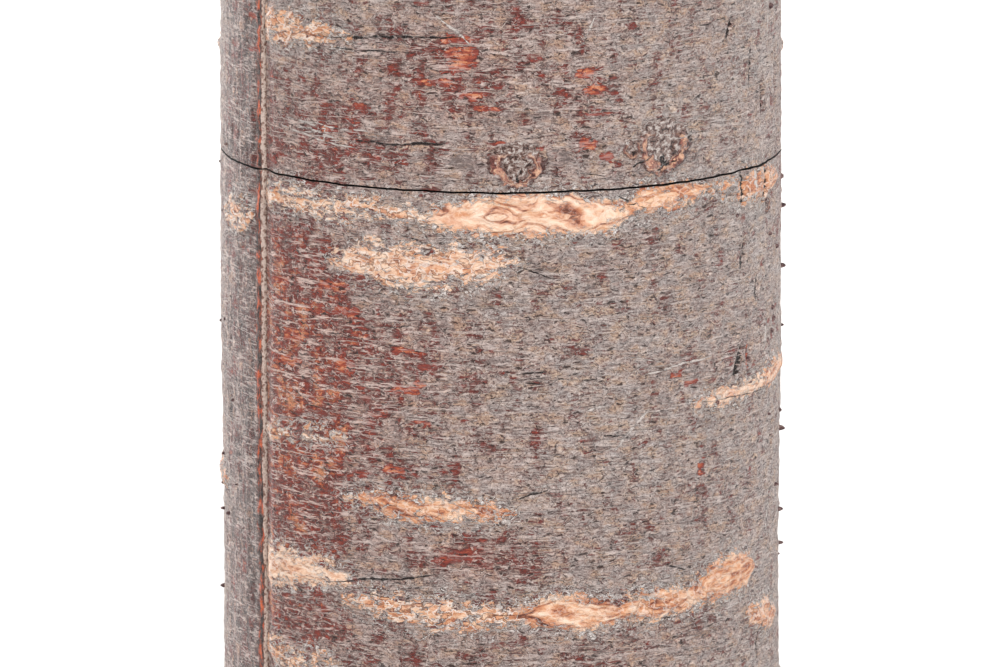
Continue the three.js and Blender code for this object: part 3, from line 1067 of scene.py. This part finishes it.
def make_outer_bark():
    """Weathered cherry bark. A dry matt grey crackle with fine level cracks over maroon and rust-red skin,
    cream and orange corky lenticels standing proud of it, bud scars, and open and healed cracks."""
    material, tree, shader = new_material("weathered_cherry_bark")
    plan = add_node(tree, "Attribute", attribute_name="plan", output="Vector")
    marks = add_node(tree, "Attribute", attribute_name="marks", output="Vector")
    cork_depth, red, plate = add_node(tree, "SeparateXYZ", {0: marks}, output="all")
    extra = add_node(tree, "Attribute", attribute_name="extra", output="Vector")
    heat, orange, broken = add_node(tree, "SeparateXYZ", {0: extra}, output="all")

    # Every line in the bark wavers by about a fifth of a millimetre, and level ones are drawn out along it.
    waver = add_node(
        tree, "TexNoise", {"Vector": plan, "Scale": 0.8, "Detail": 3.0}, **FLAT, output="Color"
    )
    waver = add_node(tree, "VectorMath", {0: waver, 1: (0.5, 0.5, 0.5)}, operation="SUBTRACT")
    bent = add_node(tree, "VectorMath", {0: waver, 1: (1.4, 0.7, 0), 2: plan}, operation="MULTIPLY_ADD")
    level = add_node(tree, "VectorMath", {0: bent, 1: (0.42, 1, 1)}, operation="MULTIPLY")
    colour, height, ragged = skin_layer(tree, plan, bent, level, red, plate, heat)

    knot = add_node(tree, "Attribute", attribute_name="knot", output="Vector")
    on_knot = add_node(tree, "SeparateXYZ", {0: knot}, output=2)
    on_knot = add_node(tree, "Math", {0: ragged, 1: 1.6, 2: on_knot}, operation="MULTIPLY_ADD")
    on_knot = add_node(tree, "MapRange", {0: on_knot, 1: 1.2, 2: 1.45})
    knot_colour, knot_height = knot_layer(tree, bent, knot, waver)
    colour = add_node(tree, "Mix", {0: on_knot, 6: colour, 7: knot_colour}, **BLEND)
    height = add_node(tree, "Mix", {0: on_knot, 2: height, 3: knot_height})

    cork, on_cork, cork_colour, cork_height = cork_layer(tree, plan, bent, level, cork_depth, orange, broken)
    colour = add_node(tree, "Mix", {0: on_cork, 6: colour, 7: cork_colour}, **BLEND)
    height = add_node(tree, "Mix", {0: on_cork, 2: height, 3: cork_height})
    # Where the grey skin has torn along a lenticel, it stands up in a whitish net with dark gaps beside it.
    rim_in = add_node(tree, "MapRange", {0: cork, 1: -2.2, 2: -0.4})
    rim_out = add_node(tree, "MapRange", {0: cork, 1: 1.2, 2: 0.3})
    rim = add_node(tree, "Math", {0: rim_in, 1: rim_out}, operation="MULTIPLY")
    net = add_node(tree, "VectorMath", {0: bent, 1: (0.66, 1, 1)}, operation="MULTIPLY")
    crumb, tear = scale_edges(tree, net, 1.15, 83, rim)
    tear = add_node(tree, "Math", {0: tear, 1: 0.75}, operation="MULTIPLY")
    colour = add_node(tree, "Mix", {0: tear, 6: colour, 7: "#4b342e"}, **BLEND)
    colour = add_node(tree, "Mix", {0: crumb, 6: colour, 7: "#e9dfda"}, **BLEND)
    height = add_node(tree, "Math", {0: crumb, 1: 0.8, 2: height}, operation="MULTIPLY_ADD")

    # Cracks, dark where they are open and pale where they have healed.
    crack = add_node(tree, "Attribute", attribute_name="crack", output="Vector")
    crack_off, crack_width, crack_pale = add_node(tree, "SeparateXYZ", {0: crack}, output="all")
    off = add_node(tree, "Math", {0: crack_off}, operation="ABSOLUTE")
    wide = add_node(tree, "MapRange", {0: ragged, 1: 0.35, 2: 0.62, 3: -0.1, 4: 1.8})
    wide = add_node(tree, "Math", {0: crack_width, 1: wide}, operation="MULTIPLY")
    open_by = add_node(tree, "Math", {0: wide, 1: off}, operation="SUBTRACT")
    in_crack = add_node(tree, "MapRange", {0: open_by, 1: -0.04, 2: 0.06})
    crack_colour = add_node(tree, "Mix", {0: crack_pale, 6: "#241815", 7: "#d2c6c0"}, **BLEND)
    colour = add_node(tree, "Mix", {0: in_crack, 6: colour, 7: crack_colour}, **BLEND)
    height = add_node(tree, "Math", {0: in_crack, 1: -0.8, 2: height}, operation="MULTIPLY_ADD")

    # The last millimetre before the seam is bruised: black gaps, and beads of orange-red inner skin.
    along = add_node(tree, "SeparateXYZ", {0: bent})
    bead = drawn_out(tree, plan, (1.1, 0.42, 1), 1.0, 4.0, 0.65)
    bruise = add_node(
        tree, "ValToRGB", {0: bead},
        ramp=[(0.4, "#1c1210"), (0.48, "#5f4038"), (0.55, "#8a4a38"), (0.6, "#d4592f"), (0.66, "#dd6c40")],
    )
    bruised_from, bruised_full = GIRTH - 1.6, GIRTH - 1.0
    bruised = add_node(tree, "MapRange", {0: along, 1: bruised_from, 2: bruised_full, 3: 0.0, 4: 0.9})
    colour = add_node(tree, "Mix", {0: bruised, 6: colour, 7: bruise}, **BLEND)

    tree.links.new(colour, shader.inputs["Base Color"])
    shader.inputs["Roughness"].default_value = 0.72
    shader.inputs["Specular IOR Level"].default_value = 0.35
    # Loose fibres on the dry skin catch a little light where it turns away.
    shader.inputs["Sheen Weight"].default_value = 0.35
    shader.inputs["Sheen Roughness"].default_value = 0.18
    bump = add_node(tree, "Bump", {"Strength": 1.0, "Distance": 0.3 * MM, "Height": height})
    tree.links.new(bump, shader.inputs["Normal"])
    return material


def make_cut_bark():
    """The knife-cut edge of the bark: a thin dark crust over pale, short-fibred inner bark. It is clean and
    pale down the seam, darker round the ends, and painted nearly black along the parting line, as painted
    shade in the gap there."""
    material, tree, shader = new_material("cut_edge_of_cherry_bark")
    plan = add_node(tree, "Attribute", attribute_name="plan", output="Vector")
    along, up, depth = add_node(tree, "SeparateXYZ", {0: plan}, output="all")
    grain = add_node(tree, "TexNoise", {"Vector": plan, "Scale": 1.6, "Detail": 4.0, "Roughness": 0.65})
    place = add_node(tree, "Math", {0: grain, 1: 3.0, 2: -1.4}, operation="MULTIPLY_ADD")
    place = add_node(tree, "Math", {0: depth, 1: place}, operation="ADD")
    clean = add_node(
        tree, "ValToRGB", {0: place},
        ramp=[(0.0, "#86665a"), (0.2, "#cbb5aa"), (0.45, "#e6d7cc"), (0.7, "#cfb8ab"), (1.0, "#86665a")],
    )
    worn = add_node(
        tree, "ValToRGB", {0: place}, ramp=[(0.0, "#3b2a26"), (0.3, "#7b5240"), (0.9, "#94694f")]
    )
    off = add_node(tree, "Math", {0: along, 1: -GIRTH / 2}, operation="ADD")
    off = add_node(tree, "Math", {0: off}, operation="ABSOLUTE")
    seam = add_node(tree, "Math", {0: off, 1: GIRTH / 2 - 1.0}, operation="GREATER_THAN")
    # Along the parting line the cut edges are painted nearly black: painted shade in the gap between lid and
    # body.
    gap = add_node(tree, "Math", {0: up, 1: PARTING_HEIGHT, 2: 0.8}, operation="COMPARE")
    worn = add_node(tree, "Mix", {0: gap, 6: worn, 7: "#140f0d"}, **BLEND)
    colour = add_node(tree, "Mix", {0: seam, 6: worn, 7: clean}, **BLEND)
    tree.links.new(colour, shader.inputs["Base Color"])
    shader.inputs["Roughness"].default_value = 0.8
    bump = add_node(tree, "Bump", {"Strength": 0.6, "Distance": 0.15 * MM, "Height": grain})
    tree.links.new(bump, shader.inputs["Normal"])
    return material


FIBRES_PER_METRE = (900, 900, 60)  # about 1.1 mm apart, and 17 mm long up the tube
GLUE_AND_SHADE_DEPTH = 0.2


def make_veneer():
    """Thin pale cherry veneer, planed and oiled: straight fine grain and a soft gloss."""
    material, tree, shader = new_material("planed_cherry_veneer")
    place = add_node(tree, "TexCoord", output="Object")
    fibres = add_node(tree, "VectorMath", {0: place, 1: FIBRES_PER_METRE}, operation="MULTIPLY")
    grain = add_node(tree, "TexNoise", {"Vector": fibres, "Scale": 1.0, "Detail": 4.0})
    colour = add_node(
        tree, "ValToRGB", {0: grain}, ramp=[(0.3, "#b98a5f"), (0.5, "#d1a578"), (0.7, "#e0bc92")]
    )
    # The faces under the bark are dark brown with glue; where they show in the parting line, the same
    # colour is painted shade in the gap.
    level_place = add_node(tree, "VectorMath", {0: place, 1: (1, 1, 0)}, operation="MULTIPLY")
    radius = add_node(tree, "VectorMath", {0: level_place}, operation="LENGTH", output="Value")
    glue_and_gap_shade_from = (WOOD_RADIUS - GLUE_AND_SHADE_DEPTH) * MM
    glue_and_gap_shade = add_node(tree, "Math", {0: radius, 1: glue_and_gap_shade_from}, operation="GREATER_THAN")
    colour = add_node(tree, "Mix", {0: glue_and_gap_shade, 6: colour, 7: "#2b201b"}, **BLEND)
    tree.links.new(colour, shader.inputs["Base Color"])
    shader.inputs["Roughness"].default_value = 0.5
    return material


RING_SPACING = 2.4
HEART_ENDS = 27.0  # from the pith
SAP_BEGINS = 31.0
RAYS_PER_RADIAN = 42.0
SAW_CENTRE = (-260, 90, 0)  # the middle of the saw blade's sweep
SAW_MARK_SPACING = 0.8


def make_end_grain():
    """Sawn cherry end grain: narrow dark late wood between pale early wood, a red-brown heart inside a
    creamy band of sapwood, pale rays, fine saw marks, and drying checks drawn nearly black."""
    material, tree, shader = new_material("sawn_cherry_end_grain")
    place = add_node(tree, "TexCoord", output="Object")
    place = add_node(tree, "VectorMath", {0: place, 3: 1 / MM}, operation="SCALE")
    flat_place = add_node(tree, "VectorMath", {0: place, 1: (1, 1, 0)}, operation="MULTIPLY")
    from_pith = add_node(tree, "VectorMath", {0: flat_place, 1: (*PITH, 0)}, operation="SUBTRACT")
    sway = add_node(tree, "TexNoise", {"Vector": flat_place, "Scale": 0.05, "Detail": 1.0}, **FLAT)
    distance = add_node(tree, "VectorMath", {0: from_pith}, operation="LENGTH", output="Value")
    distance = add_node(tree, "Math", {0: sway, 1: 9.0, 2: distance}, operation="MULTIPLY_ADD")
    # The rings are wider in good years.
    years = add_node(tree, "TexNoise", {"W": distance, "Scale": 0.16}, noise_dimensions="1D")
    rings = add_node(tree, "Math", {0: distance, 1: 1 / RING_SPACING}, operation="MULTIPLY")
    rings = add_node(tree, "Math", {0: years, 1: 2.2, 2: rings}, operation="MULTIPLY_ADD")
    ring = add_node(tree, "Math", {0: rings}, operation="FRACT")
    late = add_node(
        tree, "ValToRGB", {0: ring},
        ramp=[(0.0, "#ffffff"), (0.08, "#222222"), (0.5, "#444444"), (0.97, "#ffffff")],
    )
    heart = add_node(
        tree, "ValToRGB", {0: late}, ramp=[(0.0, "#c0906a"), (0.3, "#a97553"), (1.0, "#7c4a33")]
    )
    sap = add_node(tree, "ValToRGB", {0: late}, ramp=[(0.0, "#dcc09a"), (0.3, "#cfae84"), (1.0, "#a9835c")])
    in_sap = add_node(tree, "MapRange", {0: distance, 1: HEART_ENDS, 2: SAP_BEGINS})
    colour = add_node(tree, "Mix", {0: in_sap, 6: heart, 7: sap}, **BLEND)
    # Rays run out from the pith, about 0.9 mm apart at the rim.
    x, y, _ = add_node(tree, "SeparateXYZ", {0: from_pith}, output="all")
    bearing = add_node(tree, "Math", {0: y, 1: x}, operation="ARCTAN2")
    rays = add_node(tree, "CombineXYZ", {0: bearing, 1: distance})
    rays = drawn_out(tree, rays, (RAYS_PER_RADIAN, 0.12, 1), 1.0, 3.0)
    ray_light = add_node(tree, "MapRange", {0: rays, 1: 0.35, 2: 0.65, 3: 0.78, 4: 1.2})
    colour = add_node(tree, "VectorMath", {0: colour, 3: ray_light}, operation="SCALE")
    pores = add_node(tree, "TexNoise", {"Vector": place, "Scale": 3.0, "Detail": 3.0, "Roughness": 0.7})
    pore = add_node(tree, "MapRange", {0: pores, 1: 0.42, 2: 0.34, 3: 0.0, 4: 0.55})
    colour = add_node(tree, "Mix", {0: pore, 6: colour, 7: "#5a3524"}, **BLEND)
    stain = add_node(tree, "TexNoise", {"Vector": flat_place, "Scale": 0.1, "Detail": 4.0}, **FLAT)
    stain = add_node(tree, "MapRange", {0: stain, 1: 0.5, 2: 0.68, 3: 0.0, 4: 0.3})
    colour = add_node(tree, "Mix", {0: stain, 6: colour, 7: "#8d7a68"}, **BLEND)
    check = add_node(tree, "Attribute", attribute_name="check", output="Vector")
    off, width, _ = add_node(tree, "SeparateXYZ", {0: check}, output="all")
    off = add_node(tree, "Math", {0: off}, operation="ABSOLUTE")
    open_by = add_node(tree, "Math", {0: pores, 1: 0.5, 2: width}, operation="MULTIPLY_ADD")
    open_by = add_node(tree, "Math", {0: open_by, 1: -0.25}, operation="ADD")
    open_by = add_node(tree, "Math", {0: open_by, 1: off}, operation="SUBTRACT")
    in_check = add_node(tree, "MapRange", {0: open_by, 1: -0.08, 2: 0.04})
    colour = add_node(tree, "Mix", {0: in_check, 6: colour, 7: "#1d130e"}, **BLEND)
    tree.links.new(colour, shader.inputs["Base Color"])
    shader.inputs["Roughness"].default_value = 0.68
    # Saw marks, slightly curved.
    saw = add_node(tree, "VectorMath", {0: flat_place, 1: SAW_CENTRE}, operation="SUBTRACT")
    saw = add_node(tree, "VectorMath", {0: saw}, operation="LENGTH", output="Value")
    saw_marks = {"W": saw, "Scale": 1 / SAW_MARK_SPACING, "Detail": 1.0}
    saw = add_node(tree, "TexNoise", saw_marks, noise_dimensions="1D")
    height = add_node(tree, "Math", {0: saw, 1: 1.2, 2: pores}, operation="MULTIPLY_ADD")
    height = add_node(tree, "Math", {0: late, 1: 0.3, 2: height}, operation="MULTIPLY_ADD")
    height = add_node(tree, "Math", {0: in_check, 1: -3.0, 2: height}, operation="MULTIPLY_ADD")
    bump = add_node(tree, "Bump", {"Strength": 0.8, "Distance": 0.12 * MM, "Height": height})
    tree.links.new(bump, shader.inputs["Normal"])
    return material


def make_spur_bark():
    """Dry splinters of outer bark: dark umber, matt and grainy."""
    material, tree, shader = new_material("splintered_bark")
    place = add_node(tree, "TexCoord", output="Object")
    grain = add_node(tree, "TexNoise", {"Vector": place, "Scale": 2.6 / MM, "Detail": 3.0})
    colour = add_node(
        tree, "ValToRGB", {0: grain}, ramp=[(0.36, "#3a2629"), (0.5, "#5e4443"), (0.62, "#8c7570")]
    )
    tree.links.new(colour, shader.inputs["Base Color"])
    shader.inputs["Roughness"].default_value = 0.85
    bump = add_node(tree, "Bump", {"Strength": 0.8, "Distance": 0.2 * MM, "Height": grain})
    tree.links.new(bump, shader.inputs["Normal"])
    return material


OUTER_BARK = make_outer_bark()
CUT_BARK = make_cut_bark()
VENEER = make_veneer()
END_GRAIN = make_end_grain()
SPUR_BARK = make_spur_bark()

bark_sheet("bark_sheet_body", "body_bark", spacing=0.52, columns=1)
bark_sheet("bark_sheet_lid", "lid_bark", spacing=0.36, columns=2)

sawn_disc("end_grain_top", "top_disc", outward=1, turned=0)
sawn_disc("end_grain_bottom", "bottom_disc", outward=-1, turned=40)
bark_spurs()

for node_name in ("body_tube", "lid_tube", "liner_tube"):
    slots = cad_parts[node_name].data.materials
    slots.clear()
    slots.append(VENEER)

# ---------------------------------------------------------------- studio

CAMERA_DISTANCE = 1.5
CAMERA_RISE = 10.7  # degrees above level
CAMERA_TARGET = (-0.2, 0, 60.5)  # millimetres
LENS = 376
LAMP_AIM = (0, 0, 0.06)
LAMPS = [  # (name, place, size, power)
    ("key_from_front", (0.4, -1.4, 1.0), 0.7, 11),
    ("behind_left", (-0.9, 1.22, 0.35), 0.4, 23),
    ("behind_right", (0.98, 1.17, 0.35), 0.6, 5),
]
ROOM_LIGHT = 0.92
FLOOR_SIZE = 14
FLOOR_DROP = 0.0002  # so that the floor and the underside don't fight


def set_camera():
    """A long lens from the front, a little above the canister."""
    target = Vector(CAMERA_TARGET) * MM
    rise = math.radians(CAMERA_RISE)
    place = target + CAMERA_DISTANCE * Vector((0, -math.cos(rise), math.sin(rise)))
    bpy.ops.object.camera_add(location=place, rotation=(math.pi / 2 - rise, 0, 0))
    camera = bpy.context.object
    camera.data.lens = LENS
    camera.data.clip_end = 50
    bpy.context.scene.camera = camera


def soft_light(name, place, size, power):
    """A square area light aimed at the canister."""
    bpy.ops.object.light_add(type="AREA", location=place)
    light = bpy.context.object
    light.name = name
    light.data.size = size
    light.data.energy = power
    light.rotation_euler = (Vector(place) - Vector(LAMP_AIM)).to_track_quat("Z", "Y").to_euler()
    light.visible_camera = False


def set_studio():
    """A white room, a pale floor, a soft key from the front, and a lamp behind on each side."""
    world = bpy.data.worlds.new("white_room")
    bpy.context.scene.world = world
    world.use_nodes = True
    background = world.node_tree.nodes["Background"]
    background.inputs["Color"].default_value = (1, 1, 1, 1)
    background.inputs["Strength"].default_value = ROOM_LIGHT
    for lamp in LAMPS:
        soft_light(*lamp)
    material, _, shader = new_material("pale_studio_floor")
    shader.inputs["Base Color"].default_value = linear_colour("#f4f2f0")
    shader.inputs["Roughness"].default_value = 0.9
    bpy.ops.mesh.primitive_plane_add(size=FLOOR_SIZE, location=(0, 0, -FLOOR_DROP))
    floor = bpy.context.object
    floor.name = "studio_floor"
    floor.data.materials.append(material)


clear_selection()
set_camera()
set_studio()
bpy.context.scene.view_settings.view_transform = "Standard"
